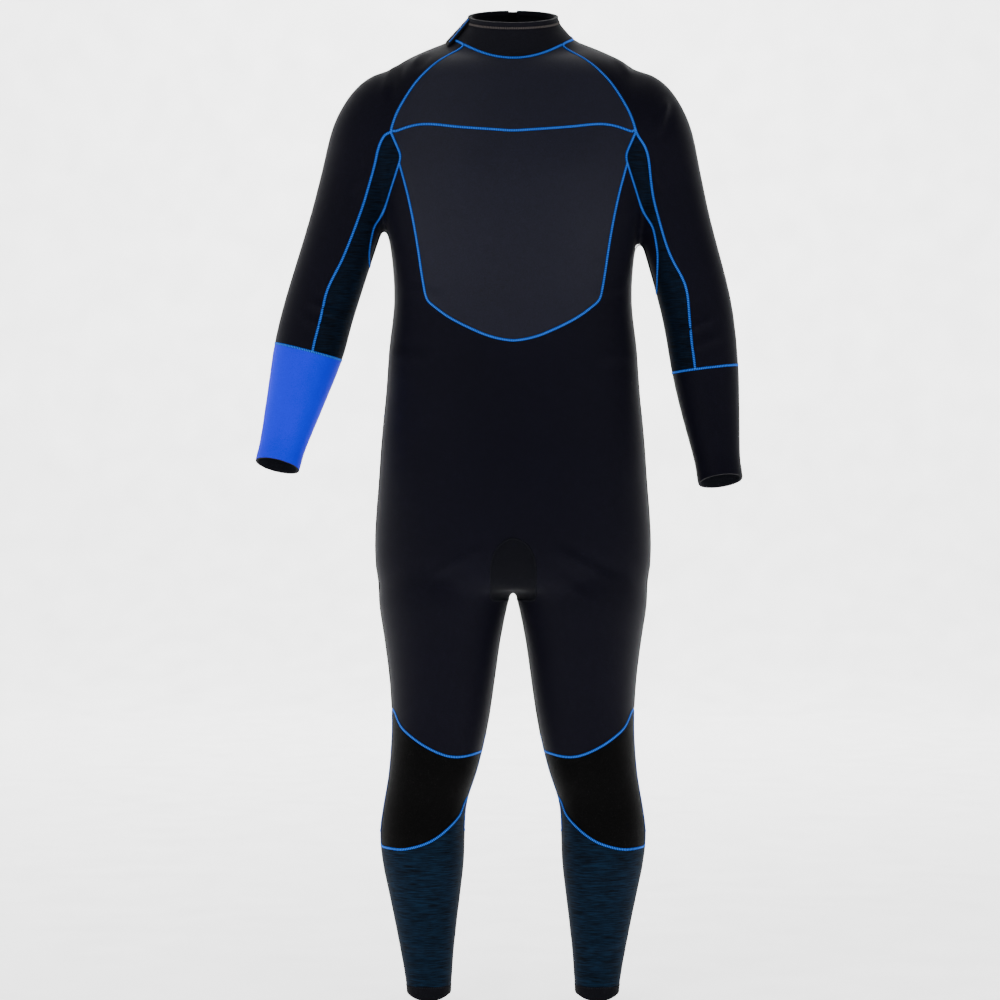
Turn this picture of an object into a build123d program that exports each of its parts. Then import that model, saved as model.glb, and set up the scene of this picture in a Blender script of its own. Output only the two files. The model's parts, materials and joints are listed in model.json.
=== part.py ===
from build123d import *
from math import cos, sin, radians, pi, copysign, hypot, atan2
import os

os.makedirs("parts", exist_ok=True)

# Full wetsuit with a back zip, hollow, standing as if worn. Millimetres.
# +Z is up, -Y is the front, +X is the wearer's left. Dimensions are taken from the lower edges of the
# ankle hems, midway between the legs; pieces are written about the middle of the neck opening.

# Driving dimensions
WALL = 4.0                 # neoprene thickness
CROTCH = 612.0             # height of the crotch above the ankle hems
CUFF_RADIUS = 34.0         # outer radius of the wrist and ankle hems
WRIST_HEM = 20.0
ANKLE_HEM = 20.0
KNEE = 320.0               # height of the knee's bending line
KNEE_REACH = 72.0          # knee back panel, above and below that line
ELBOW_REACH = 58.0         # elbow panels, above and below the elbow, along the arm
SIDE_SEAM = -8.0           # the side seams run this far in front of the middle
WIDE = 420.0               # beyond the suit on every side
RING_POINTS = 16

# Trunk: height, half width, front, back, forward lean in degrees, fullness of the section
TRUNK = [
    (CROTCH, 203, -108, 122, 0, 2.5),
    (690, 204, -113, 132, 0, 2.4),
    (760, 199, -112, 128, 0, 2.3),
    (830, 194, -107, 119, 0, 2.3),
    (900, 187, -104, 112, 0, 2.3),
    (960, 183, -103, 109.9, 0, 2.3),
    (1030, 175, -106, 107.5, 0, 2.3),
    (1100, 179, -114, 105, 0, 2.3),
    (1160, 190, -120, 102.9, 0, 2.3),
    (1230, 200, -121, 100.5, 0, 2.2),
    (1290, 204, -112, 98.4, 0, 2.1),
    (1330, 204, -100, 97, 1, 2),
    (1362, 190, -94, 94, 5, 2),
    (1385, 165, -88, 90, 10, 2),
    (1402, 128, -85, 86, 16, 2),
    (1412, 96, -84, 80, 21, 2),
]

# Arms: distance from the middle, y, height, splay and forward reach in degrees, half width, half depth
ARM = {
    "right": [
        (110, 4, 1322, 72, 0, 56, 62),
        (165, 4, 1300, 56, 0, 78, 74),
        (205, 4, 1262, 38, 0, 70, 74),
        (230, 3, 1200, 24, 0, 58, 66),
        (250, 2, 1136, 17.5, 0, 54, 61),
        (285.5, 0, 1022, 15, 0, 53, 55),
        (302, -3, 958, 14, 5, 52, 52),
        (319, -14, 892, 13.5, 12, 44, 46),
        (336, -30, 826, 13, 16, 35.5, 36),
        (341, -36, 806, 13, 17, 34, 34),
    ],
    "left": [
        (110, 4, 1322, 72, 0, 56, 62),
        (165, 4, 1300, 56, 0, 78, 74),
        (202, 4, 1262, 38, 0, 70, 74),
        (224, 3, 1200, 22, 0, 58, 66),
        (241, 2, 1136, 15, 0, 54, 61),
        (271, 0, 1022, 11, 0, 53, 55),
        (284, -3, 932, 8.5, 5, 50, 51),
        (291, -13, 872, 8, 12, 44, 45),
        (299, -28, 806, 7.5, 16, 35.5, 36),
        (301.5, -33, 784, 7.5, 17, 34, 34),
    ],
}
ELBOW = {"right": (288, 1012, 14.5), "left": (277, 988, 9.0)}   # out from the middle, height, splay

# Legs: height, distance from the middle, half width, y of the middle, half depth
LEG = [
    (690, 96, 92, 8, 98),
    (604, 101.5, 98.5, 6, 104),
    (537, 104, 86.6, 5, 94),
    (471, 104.5, 77.7, 4, 84),
    (404, 108, 71, 2, 73),
    (337, 118, 65, 0, 65),
    (293, 129, 61.4, 2, 60),
    (248, 134, 63, 6, 62),
    (204, 133, 60.7, 8, 61),
    (160, 131, 54, 8, 54),
    (115, 129, 46.6, 6, 47),
    (71, 127, 40, 4, 40),
    (ANKLE_HEM, 124.5, CUFF_RADIUS, 3, CUFF_RADIUS),
]

# Seams seen from the front, as (distance from the middle, height)
RAGLAN = [(60, 1460), (72, 1400), (93, 1388), (115, 1372), (142, 1345), (161, 1316), (173, 1292), (179, 1272)]
SLEEVE_SEAM = {
    "right": [(186, 1270), (196, 1251), (201, 1228), (211, 1194), (221, 1162), (247, 1094), (271, 1045)],
    "left": [(184, 1262), (193, 1251), (198, 1228), (202, 1194), (208, 1165), (228, 1098), (252, 1050)],
}
CUFF_SEAM = {"right": (293, 956), "left": (266, 930)}           # where the sleeve seam meets the cuff
ARMPIT = [(162, 1236), (176, 1196), (190, 1160), (205, 1138)]   # seam under the arm, running outwards
CHEST_SIDE = [(178, 1268), (166, 1228), (152, 1176), (141, 1120), (132, 1060), (126, 1027)]
CHEST_FOOT = [(126, 1027), (97, 1004), (66, 987), (33, 973), (0, 966)]
CROSS_SEAM = [(178, 1271), (134, 1281), (74, 1274), (0, 1268)]
GUSSET = [(33, 590), (32, 640), (27, 662), (15, 677), (0, 682)]
KNEE_TOP = [(220, 436), (178, 430), (166, 407), (145, 389),
            (121, 374), (96, 364), (75, 362), (46, 367), (20, 372)]
KNEE_FOOT = [(220, 228), (181, 226), (160, 226), (136, 232), (115, 241),
             (93, 258), (76, 277), (66, 300), (20, 320)]
SEAT_TOP = 862.0
THIGH_TOP = 640.0

# Collar: a cone from the neck seam to a round rim, open at the back under its flap
RIM_RADIUS = 66.0
RIM_Y = -14.0
RIM_Z = 1443.0
RIM_LEAN = 17.5
BINDING = 7.0              # height of the stitched binding on the rim
COLLAR_SLOT = 6.0          # half the gap at the back of the collar
BINDING_PROUD = 0.7        # how far the binding stands out from the collar, inside and outside
FLAP_LOW = 0.20            # the flap's edges, as shares of the collar's height
FLAP_HIGH = 0.85
FLAP_GAP = 1.6             # from the collar to the flap's inner face
FLAP_THICK = 3.0
FLAP_SEWN = 62.0           # degrees from +X: sewn edge behind the left ear
FLAP_FREE = 196.0          # free edge at the right side of the neck
PATCH_THICK = 0.6

# Every piece is written with its origin in the middle of the bound neck opening
AT_NECK = Location((
    0,
    BINDING / 2 * sin(radians(RIM_LEAN)) - RIM_Y,
    -BINDING / 2 * cos(radians(RIM_LEAN)) - RIM_Z,
))

# Back zip, in the plane of the zip: across from its middle, up from its foot, out from the back
ZIP_FOOT = 905.0
ZIP_BACK = 111.8           # y of the back at the foot of the zip
ZIP_LEAN = 0.035           # the back comes forward this much for each unit up
ZIP_LENGTH = 462.0
ZIP_SLOT = 8.0             # half the gap between the back panels
TAPE_DEPTH = 6.0           # the tapes' inner face, below the outer face of the back
TAPE_THICK = 2.4
TAPE_GAP = 0.6
TAPE_EDGE = 18.0
TOOTH_PITCH = 4.0
TOOTH = 1.7
TOOTH_ROOT = 1.5
TOOTH_TIP = 1.3
CHAIN_EDGE = 3.2
CHAIN_THICK = 2.4
CHAIN_TOP = 450.0
TEETH = 110
SLIDER_WIDE = 10.0
SLIDER_LONG = 14.0
SLIDER_PLATE = 1.4
SLIDER_AT = 442.0          # middle of the slider when the zip is closed
TAB_WIDE = 5.0
TAB_LONG = 26.0
TAB_THICK = 1.6
TAB_EYE = 2.3
PIN_RADIUS = 1.0
INNER_FLAP = 42.0
INNER_FLAP_THICK = 2.5

SIDES = {"right": -1, "left": 1}


def ring(plane, half_width, half_depth, fullness=2.0):
    """One closed cross-section of the suit: a superellipse on a plane."""
    points = []
    for step in range(RING_POINTS):
        turn = 2 * pi * step / RING_POINTS
        across = copysign(abs(cos(turn)) ** (2 / fullness), cos(turn))
        deep = copysign(abs(sin(turn)) ** (2 / fullness), sin(turn))
        points.append((half_width * across, half_depth * deep))
    with BuildSketch(plane) as section:
        with BuildLine():
            Spline(*points, periodic=True)
        make_face()
    return section.sketch


def level(x, y, z, lean=0.0):
    """A nearly horizontal plane that leans forward by so many degrees."""
    return Plane(origin=(x, y, z), x_dir=(1, 0, 0), z_dir=(0, -sin(radians(lean)), cos(radians(lean))))


def along_arm(side, out, y, z, splay, reach):
    """A plane square to the arm; its normal points to the hand."""
    s, f = radians(splay), radians(reach)
    hand = (side * sin(s) * cos(f), -sin(f), -cos(s) * cos(f))
    return Plane(origin=(side * out, y, z), x_dir=(side * cos(s), 0, sin(s)), z_dir=hand)


def trunk_body(inset):
    """The trunk as a closed body, set in by so much."""
    sections = []
    for z, half_width, front, back, lean, fullness in TRUNK:
        floor = inset if z == CROTCH else 0
        plane = level(0, (front + back) / 2, z + floor, lean)
        sections.append(ring(plane, half_width - inset, (back - front) / 2 - inset, fullness))
    return loft(sections)


def arm_body(name, inset):
    """One arm from inside the trunk to the wrist hem."""
    sections = []
    for out, y, z, splay, reach, half_width, half_depth in ARM[name]:
        plane = along_arm(SIDES[name], out, y, z, splay, reach)
        sections.append(ring(plane, half_width - inset, half_depth - inset))
    return loft(sections)


def leg_body(name, inset):
    """One leg from inside the trunk to the ankle hem."""
    sections = []
    for z, out, half_width, y, half_depth in LEG:
        plane = level(SIDES[name] * out, y, z)
        sections.append(ring(plane, half_width - inset, half_depth - inset, 2.1))
    return loft(sections)


def prism(points, near, far):
    """A closed outline seen from the front, cut through the suit from y = near to y = far."""
    with BuildSketch(Plane.XZ.offset(-near)) as outline:
        with BuildLine():
            Polyline(*points, close=True)
        make_face()
    return extrude(outline.sketch, amount=near - far, mode=Mode.PRIVATE)


def half(seam, side):
    """A seam's points on one side of the suit."""
    return [(side * out, z) for out, z in seam]


def both(seam):
    """A seam that runs from the right side over the middle to the left side."""
    return half(seam, -1) + [(out, z) for out, z in reversed(seam) if out > 0]


def block(x0, x1, y0, y1, z0, z1):
    """A box between two corners."""
    middle = Pos((x0 + x1) / 2, (y0 + y1) / 2, (z0 + z1) / 2)
    return middle * Box(x1 - x0, y1 - y0, z1 - z0, mode=Mode.PRIVATE)


def side_block(side, near, y0, y1, z0, z1):
    """A box on one side of the suit only, from near outwards."""
    return block(min(side * near, side * WIDE), max(side * near, side * WIDE), y0, y1, z0, z1)


def elbow_point(name, down):
    """A point on the arm's line, so far below the elbow, as (x, z)."""
    out, z, splay = ELBOW[name]
    s = radians(splay)
    return (SIDES[name] * (out + down * sin(s)), z - down * cos(s))


def elbow_edge(name, down, reach_out):
    """A point square to the arm's line: positive reach_out is away from the trunk."""
    x, z = elbow_point(name, down)
    s = radians(ELBOW[name][2])
    return (x + SIDES[name] * reach_out * cos(s), z + reach_out * sin(s))


def collar_ring(share, grow):
    """The collar's section at a share of its height, grown outwards by so much."""
    z0, half_width, front, back, lean, _ = TRUNK[-1]
    deep0, deep1 = (back - front) / 2, RIM_RADIUS
    v_y = (1 - share) * deep0 * cos(radians(lean)) + share * deep1 * cos(radians(RIM_LEAN))
    v_z = (1 - share) * deep0 * sin(radians(lean)) + share * deep1 * sin(radians(RIM_LEAN))
    y = (1 - share) * (front + back) / 2 + share * RIM_Y
    z = (1 - share) * z0 + share * RIM_Z
    width = (1 - share) * half_width + share * RIM_RADIUS
    return ring(level(0, y, z, atan2(v_z, v_y) * 180 / pi), width + grow, hypot(v_y, v_z) + grow)


def collar_layer(low, high, near, far):
    """A layer round the collar between two shares of its height and two distances from its outer face."""
    middle = (low + high) / 2
    outside = loft([collar_ring(share, far) for share in (low, middle, high)])
    inside = loft([collar_ring(share, near) for share in (low, middle, high)])
    return outside - inside


def wedge(start, end):
    """A sector seen from above, round the collar's middle, between two angles from +X."""
    points = [(0, RIM_Y / 2)]
    for step in range(6):
        turn = radians(start + (end - start) * step / 5)
        points.append((WIDE * cos(turn), WIDE * sin(turn)))
    with BuildSketch(Plane.XY.offset(1300)) as sector:
        with BuildLine():
            Polyline(*points, close=True)
        make_face()
    return extrude(sector.sketch, amount=300, mode=Mode.PRIVATE)


# The whole suit as one hollow skin, before it is cut into its panels
arm_outside = {name: arm_body(name, 0) for name in SIDES}
arm_inside = {name: arm_body(name, WALL) for name in SIDES}
leg_outside = {name: leg_body(name, 0) for name in SIDES}
leg_inside = {name: leg_body(name, WALL) for name in SIDES}
with BuildPart() as skin:
    add(trunk_body(0))
    for name in SIDES:
        add(arm_outside[name])
        add(leg_outside[name])
with BuildPart() as hollow:
    add(trunk_body(WALL))
    for name in SIDES:
        add(arm_inside[name])
        add(leg_inside[name])
with BuildPart() as suit:
    add(skin.part)
    add(hollow.part, mode=Mode.SUBTRACT)

# Cutting shapes shared by neighbouring panels
front_half = block(-WIDE, WIDE, -WIDE, SIDE_SEAM, -50, 1600)
sleeve_cut = {}
underarm_cut = {}
above_elbow = {}
for name, side in SIDES.items():
    cuff_out, cuff_z = CUFF_SEAM[name]
    seam = half(RAGLAN + SLEEVE_SEAM[name] + [(cuff_out, cuff_z)], side)
    sleeve_cut[name] = prism(seam + [(side * WIDE, cuff_z - 80), (side * WIDE, 1460)], -WIDE, WIDE)
    inner = half(ARMPIT, side) + [elbow_edge(name, ELBOW_REACH, -75)]
    outer = [elbow_edge(name, ELBOW_REACH, 120), (side * WIDE, 1264)] + half([(179, 1272)], side)
    underarm_cut[name] = prism(inner + outer, -WIDE, WIDE)
    bottom = [elbow_edge(name, -ELBOW_REACH, -75), elbow_edge(name, -ELBOW_REACH, 120)]
    above_elbow[name] = prism(bottom + [(side * WIDE, 1460), (0, 1460), (0, 1150)], -WIDE, WIDE)
arms_cut = sleeve_cut["right"] + sleeve_cut["left"] + underarm_cut["right"] + underarm_cut["left"]
gusset_cut = prism(both(GUSSET), -WIDE, WIDE)
chest_cut = prism(both([(178, 1295)] + CHEST_SIDE[:-1] + CHEST_FOOT), -WIDE, SIDE_SEAM)
yoke_cut = prism(both(CROSS_SEAM) + [(178, 1300), (178, 1480), (-178, 1480), (-178, 1300)], -WIDE, SIDE_SEAM)

# Raglan sleeves and the panels under the arms, down to the elbows
for name in SIDES:
    with BuildPart() as raglan_sleeve:
        add(suit.part)
        add(sleeve_cut[name], mode=Mode.INTERSECT)
        add(above_elbow[name], mode=Mode.INTERSECT)
    raglan_sleeve.part.label = f"{name}_raglan_sleeve"
    export_step(raglan_sleeve.part.moved(AT_NECK), f"parts/{name}_raglan_sleeve.step")

    with BuildPart() as underarm_panel:
        add(suit.part)
        add(underarm_cut[name], mode=Mode.INTERSECT)
        add(above_elbow[name], mode=Mode.INTERSECT)
        add(sleeve_cut[name], mode=Mode.SUBTRACT)
    underarm_panel.part.label = f"{name}_underarm_panel"
    export_step(underarm_panel.part.moved(AT_NECK), f"parts/{name}_underarm_panel.step")

# Elbow panels, forearms and wrist hems
wrist_plane = {}
for name, side in SIDES.items():
    with BuildPart() as sleeve:
        add(arm_outside[name])
        add(arm_inside[name], mode=Mode.SUBTRACT)
    low = [elbow_edge(name, ELBOW_REACH, -120), elbow_edge(name, ELBOW_REACH, 120)]
    high = [elbow_edge(name, -ELBOW_REACH, 120), elbow_edge(name, -ELBOW_REACH, -120)]
    elbow_cut = prism(low + high, -WIDE, WIDE)

    with BuildPart() as elbow_outer:
        add(sleeve.part)
        add(elbow_cut, mode=Mode.INTERSECT)
        add(sleeve_cut[name], mode=Mode.INTERSECT)
    elbow_outer.part.label = f"{name}_elbow_outer"
    export_step(elbow_outer.part.moved(AT_NECK), f"parts/{name}_elbow_outer.step")

    with BuildPart() as elbow_inner:
        add(sleeve.part)
        add(elbow_cut, mode=Mode.INTERSECT)
        add(sleeve_cut[name], mode=Mode.SUBTRACT)
    elbow_inner.part.label = f"{name}_elbow_inner"
    export_step(elbow_inner.part.moved(AT_NECK), f"parts/{name}_elbow_inner.step")

    with BuildPart() as forearm:
        add(sleeve.part)
        add(prism(low + [(side * WIDE, 1460), (0, 1460)], -WIDE, WIDE), mode=Mode.SUBTRACT)
    forearm_label = "right_blue_forearm" if name == "right" else "left_forearm"
    forearm.part.label = forearm_label
    export_step(forearm.part.moved(AT_NECK), f"parts/{forearm_label}.step")

    wrist_plane[name] = along_arm(side, *ARM[name][-1][:5])
    with BuildPart() as wrist_hem:
        with BuildSketch(wrist_plane[name]):
            Circle(CUFF_RADIUS)
            Circle(CUFF_RADIUS - WALL, mode=Mode.SUBTRACT)
        extrude(amount=WRIST_HEM)
    wrist_hem.part.label = f"{name}_wrist_hem"
    export_step(wrist_hem.part.moved(AT_NECK), f"parts/{name}_wrist_hem.step")

# Trunk: yoke, chest panel, and the front that runs on down to the knees
with BuildPart() as trunk_skin:
    add(suit.part)
    add(arms_cut, mode=Mode.SUBTRACT)
    for side in SIDES.values():
        add(side_block(side, 212, -WIDE, WIDE, 700, 1200), mode=Mode.SUBTRACT)

with BuildPart() as chest_yoke:
    add(trunk_skin.part)
    add(yoke_cut, mode=Mode.INTERSECT)
chest_yoke.part.label = "chest_yoke"
export_step(chest_yoke.part.moved(AT_NECK), "parts/chest_yoke.step")

with BuildPart() as chest_panel:
    add(trunk_skin.part)
    add(chest_cut, mode=Mode.INTERSECT)
    add(yoke_cut, mode=Mode.SUBTRACT)
chest_panel.part.label = "chest_panel"
export_step(chest_panel.part.moved(AT_NECK), "parts/chest_panel.step")

knee_top_cut = {name: prism(half(KNEE_TOP, side) + half([(0, 372), (0, 0), (220, 0)], side), -WIDE, WIDE)
                for name, side in SIDES.items()}
with BuildPart() as front_body:
    add(trunk_skin.part)
    add(front_half, mode=Mode.INTERSECT)
    add(yoke_cut, mode=Mode.SUBTRACT)
    add(chest_cut, mode=Mode.SUBTRACT)
    add(gusset_cut, mode=Mode.SUBTRACT)
    add(block(-WIDE, WIDE, -WIDE, WIDE, 0, THIGH_TOP), mode=Mode.SUBTRACT)
front_body.part.label = "front_body"
export_step(front_body.part.moved(AT_NECK), "parts/front_body.step")

for name, side in SIDES.items():
    with BuildPart() as thigh_front:
        add(trunk_skin.part)
        add(side_block(side, 0, -WIDE, SIDE_SEAM, KNEE, THIGH_TOP), mode=Mode.INTERSECT)
        add(gusset_cut, mode=Mode.SUBTRACT)
        add(knee_top_cut[name], mode=Mode.SUBTRACT)
    thigh_front.part.label = f"{name}_thigh_front"
    export_step(thigh_front.part.moved(AT_NECK), f"parts/{name}_thigh_front.step")

with BuildPart() as crotch_gusset:
    add(trunk_skin.part)
    add(gusset_cut, mode=Mode.INTERSECT)
crotch_gusset.part.label = "crotch_gusset"
export_step(crotch_gusset.part.moved(AT_NECK), "parts/crotch_gusset.step")

with BuildPart() as seat_panel:
    add(trunk_skin.part)
    add(block(-WIDE, WIDE, SIDE_SEAM, WIDE, THIGH_TOP, SEAT_TOP), mode=Mode.INTERSECT)
    add(gusset_cut, mode=Mode.SUBTRACT)
seat_panel.part.label = "seat_panel"
export_step(seat_panel.part.moved(AT_NECK), "parts/seat_panel.step")

# Back: two halves either side of the zip, with the slot between them
with BuildPart() as back_skin:
    add(trunk_skin.part)
    add(block(-WIDE, WIDE, SIDE_SEAM, WIDE, SEAT_TOP, 1600), mode=Mode.INTERSECT)
    add(block(-ZIP_SLOT, ZIP_SLOT, 0, WIDE, ZIP_FOOT, 1600), mode=Mode.SUBTRACT)
for name, side in SIDES.items():
    with BuildPart() as back_panel:
        add(back_skin.part)
        add(side_block(side, 0, -WIDE, WIDE, SEAT_TOP - 10, 1600), mode=Mode.INTERSECT)
    back_panel.part.label = f"{name}_back_panel"
    export_step(back_panel.part.moved(AT_NECK), f"parts/{name}_back_panel.step")

# Legs
for name, side in SIDES.items():
    back_top = KNEE + KNEE_REACH
    back_foot = KNEE - KNEE_REACH
    with BuildPart() as leg_skin:
        add(leg_outside[name])
        add(leg_inside[name], mode=Mode.SUBTRACT)

    with BuildPart() as thigh_back:
        add(trunk_skin.part)
        add(side_block(side, 0, SIDE_SEAM, WIDE, back_top, THIGH_TOP), mode=Mode.INTERSECT)
        add(gusset_cut, mode=Mode.SUBTRACT)
    thigh_back.part.label = f"{name}_thigh_back"
    export_step(thigh_back.part.moved(AT_NECK), f"parts/{name}_thigh_back.step")

    with BuildPart() as knee_back:
        add(leg_skin.part)
        add(block(-WIDE, WIDE, SIDE_SEAM, WIDE, back_foot, back_top), mode=Mode.INTERSECT)
    knee_back.part.label = f"{name}_knee_back"
    export_step(knee_back.part.moved(AT_NECK), f"parts/{name}_knee_back.step")

    knee_foot_line = half(KNEE_FOOT, side) + half([(0, 320), (0, 480), (220, 480)], side)
    knee_foot_cut = prism(knee_foot_line, -WIDE, SIDE_SEAM)
    with BuildPart() as knee_pad:
        add(leg_skin.part)
        add(knee_foot_cut, mode=Mode.INTERSECT)
        add(knee_top_cut[name], mode=Mode.INTERSECT)
    knee_pad.part.label = f"{name}_knee_pad"
    export_step(knee_pad.part.moved(AT_NECK), f"parts/{name}_knee_pad.step")

    with BuildPart() as shin:
        add(leg_skin.part)
        add(block(-WIDE, WIDE, -WIDE, WIDE, KNEE, 800), mode=Mode.SUBTRACT)
        add(block(-WIDE, WIDE, SIDE_SEAM, WIDE, back_foot, 800), mode=Mode.SUBTRACT)
        add(knee_foot_cut, mode=Mode.SUBTRACT)
    shin.part.label = f"{name}_shin"
    export_step(shin.part.moved(AT_NECK), f"parts/{name}_shin.step")

    with BuildPart() as ankle_hem:
        with BuildSketch(level(side * LEG[-1][1], LEG[-1][3], 0)):
            Circle(CUFF_RADIUS)
            Circle(CUFF_RADIUS - WALL, mode=Mode.SUBTRACT)
        extrude(amount=ANKLE_HEM)
    ankle_hem.part.label = f"{name}_ankle_hem"
    export_step(ankle_hem.part.moved(AT_NECK), f"parts/{name}_ankle_hem.step")

# Back zip. Its plane lies on the back, with local +Y up the zip and the normal outwards.
zip_rise = atan2(ZIP_LEAN, 1.0)
zip_plane = Plane(origin=(0, ZIP_BACK, ZIP_FOOT), x_dir=(-1, 0, 0), z_dir=(0, cos(zip_rise), sin(zip_rise)))

for name, side in SIDES.items():
    hand = -side
    with BuildPart() as zip_tape:
        with BuildSketch(zip_plane.offset(-TAPE_DEPTH)):
            with Locations((hand * (TAPE_GAP + TAPE_EDGE) / 2, ZIP_LENGTH / 2)):
                Rectangle(TAPE_EDGE - TAPE_GAP, ZIP_LENGTH)
        extrude(amount=TAPE_THICK)
        add(back_skin.part, mode=Mode.SUBTRACT)
    zip_tape.part.label = f"{name}_zip_tape"
    export_step(zip_tape.part.moved(AT_NECK), f"parts/{name}_zip_tape.step")

    shift = TOOTH_PITCH / 2 if name == "left" else 0.0
    comb = [(hand * TOOTH_ROOT, 6)]
    for tooth in range(TEETH):
        low = 8 + shift + tooth * TOOTH_PITCH
        comb += [(hand * TOOTH_ROOT, low), (-hand * TOOTH_TIP, low)]
        comb += [(-hand * TOOTH_TIP, low + TOOTH), (hand * TOOTH_ROOT, low + TOOTH)]
    comb += [(hand * TOOTH_ROOT, CHAIN_TOP), (hand * CHAIN_EDGE, CHAIN_TOP), (hand * CHAIN_EDGE, 6)]
    with BuildPart() as zip_teeth:
        with BuildSketch(zip_plane.offset(TAPE_THICK - TAPE_DEPTH)):
            with BuildLine():
                Polyline(*comb, close=True)
            make_face()
        extrude(amount=CHAIN_THICK)
    zip_teeth.part.label = f"{name}_zip_teeth"
    export_step(zip_teeth.part.moved(AT_NECK), f"parts/{name}_zip_teeth.step")

for label, height in (("zip_bottom_stop", 3.0), ("zip_top_stop", CHAIN_TOP + 3.0)):
    with BuildPart() as stop:
        with BuildSketch(zip_plane.offset(TAPE_THICK - TAPE_DEPTH)):
            with Locations((0, height)):
                RectangleRounded(2 * CHAIN_EDGE + 2, 5.0, 1.0)
        extrude(amount=CHAIN_THICK)
    stop.part.label = label
    export_step(stop.part.moved(AT_NECK), f"parts/{label}.step")

# The slider rides over the closed teeth: a plate with two flanges that reach down to the tapes
slider_foot = TAPE_THICK - TAPE_DEPTH + 0.4
slider_roof = TAPE_THICK - TAPE_DEPTH + CHAIN_THICK + 0.4
slider_top = slider_roof + SLIDER_PLATE
pin_height = slider_top + TAB_EYE + 0.4
with BuildPart() as zip_slider:
    with BuildSketch(zip_plane.offset(slider_foot)):
        with Locations((0, SLIDER_AT)):
            RectangleRounded(SLIDER_WIDE, SLIDER_LONG, 2.0)
    extrude(amount=slider_top - slider_foot)
    with BuildSketch(zip_plane.offset(slider_foot)):
        with Locations((0, SLIDER_AT)):
            Rectangle(2 * CHAIN_EDGE + 0.8, SLIDER_LONG + 2)
    extrude(amount=slider_roof - slider_foot, mode=Mode.SUBTRACT)
    with BuildSketch(zip_plane.offset(slider_top)):
        with Locations((-TAB_WIDE / 2 - 1.2, SLIDER_AT), (TAB_WIDE / 2 + 1.2, SLIDER_AT)):
            Rectangle(1.6, 4.0)
    extrude(amount=TAB_EYE + 0.4 + 1.6)
    with BuildSketch(Plane(zip_plane.from_local_coords(Vector(0, SLIDER_AT, pin_height)), z_dir=(1, 0, 0))):
        Circle(PIN_RADIUS)
    extrude(amount=TAB_WIDE / 2 + 1.0, both=True)
zip_slider.part.label = "zip_slider"
export_step(zip_slider.part.moved(AT_NECK), "parts/zip_slider.step")

# The pull tab hangs from the slider's pin
with BuildPart() as zip_pull_tab:
    with BuildSketch(zip_plane.offset(pin_height - TAB_THICK / 2)):
        with Locations((0, SLIDER_AT - TAB_LONG / 2)):
            Rectangle(TAB_WIDE, TAB_LONG)
        with Locations((0, SLIDER_AT - TAB_LONG)):
            Circle(TAB_WIDE * 0.8)
            Circle(TAB_WIDE * 0.4, mode=Mode.SUBTRACT)
    extrude(amount=TAB_THICK)
    with BuildSketch(Plane(zip_plane.from_local_coords(Vector(0, SLIDER_AT, pin_height)), z_dir=(1, 0, 0))):
        Circle(TAB_EYE)
    extrude(amount=TAB_WIDE / 2, both=True)
    with BuildSketch(Plane(zip_plane.from_local_coords(Vector(0, SLIDER_AT, pin_height)), z_dir=(1, 0, 0))):
        Circle(PIN_RADIUS + 0.3)
    extrude(amount=TAB_WIDE, both=True, mode=Mode.SUBTRACT)
zip_pull_tab.part.label = "zip_pull_tab"
export_step(zip_pull_tab.part.moved(AT_NECK), "parts/zip_pull_tab.step")

# Flap of neoprene inside, between the zip and the wearer's back
with BuildPart() as zip_inner_flap:
    with BuildSketch(zip_plane.offset(-TAPE_DEPTH)):
        with Locations((0, ZIP_LENGTH / 2)):
            RectangleRounded(2 * INNER_FLAP, ZIP_LENGTH - 4, 12)
    extrude(amount=-INNER_FLAP_THICK)
    add(back_skin.part, mode=Mode.SUBTRACT)
zip_inner_flap.part.label = "zip_inner_flap"
export_step(zip_inner_flap.part.moved(AT_NECK), "parts/zip_inner_flap.step")

# Collar, its binding and its closure at the back
collar_wall = collar_layer(0, 1, -WALL, 0)
flap_layer = collar_layer(FLAP_LOW, FLAP_HIGH, FLAP_GAP, FLAP_GAP + FLAP_THICK)
loop_layer = collar_layer(FLAP_LOW + 0.1, FLAP_HIGH - 0.1, 0, PATCH_THICK)
hook_layer = collar_layer(FLAP_LOW + 0.1, FLAP_HIGH - 0.1, FLAP_GAP - PATCH_THICK, FLAP_GAP)
collar_slot = block(-COLLAR_SLOT, COLLAR_SLOT, 0, WIDE, 1300, 1600)
flap_sector = wedge(FLAP_SEWN, FLAP_FREE)
patch_sector = wedge(FLAP_FREE - 30, FLAP_FREE - 4)

with BuildPart() as collar:
    add(collar_wall)
    add(collar_slot, mode=Mode.SUBTRACT)
collar.part.label = "collar"
export_step(collar.part.moved(AT_NECK), "parts/collar.step")

with BuildPart() as collar_binding:
    with BuildSketch(level(0, RIM_Y, RIM_Z, RIM_LEAN)):
        Circle(RIM_RADIUS + BINDING_PROUD)
        Circle(RIM_RADIUS - WALL - BINDING_PROUD, mode=Mode.SUBTRACT)
    extrude(amount=BINDING)
    add(collar_slot, mode=Mode.SUBTRACT)
collar_binding.part.label = "collar_binding"
export_step(collar_binding.part.moved(AT_NECK), "parts/collar_binding.step")

with BuildPart() as collar_flap:
    add(flap_layer)
    add(flap_sector, mode=Mode.INTERSECT)
collar_flap.part.label = "collar_flap"
export_step(collar_flap.part.moved(AT_NECK), "parts/collar_flap.step")

with BuildPart() as flap_hook_patch:
    add(hook_layer)
    add(patch_sector, mode=Mode.INTERSECT)
flap_hook_patch.part.label = "flap_hook_patch"
export_step(flap_hook_patch.part.moved(AT_NECK), "parts/flap_hook_patch.step")

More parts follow.
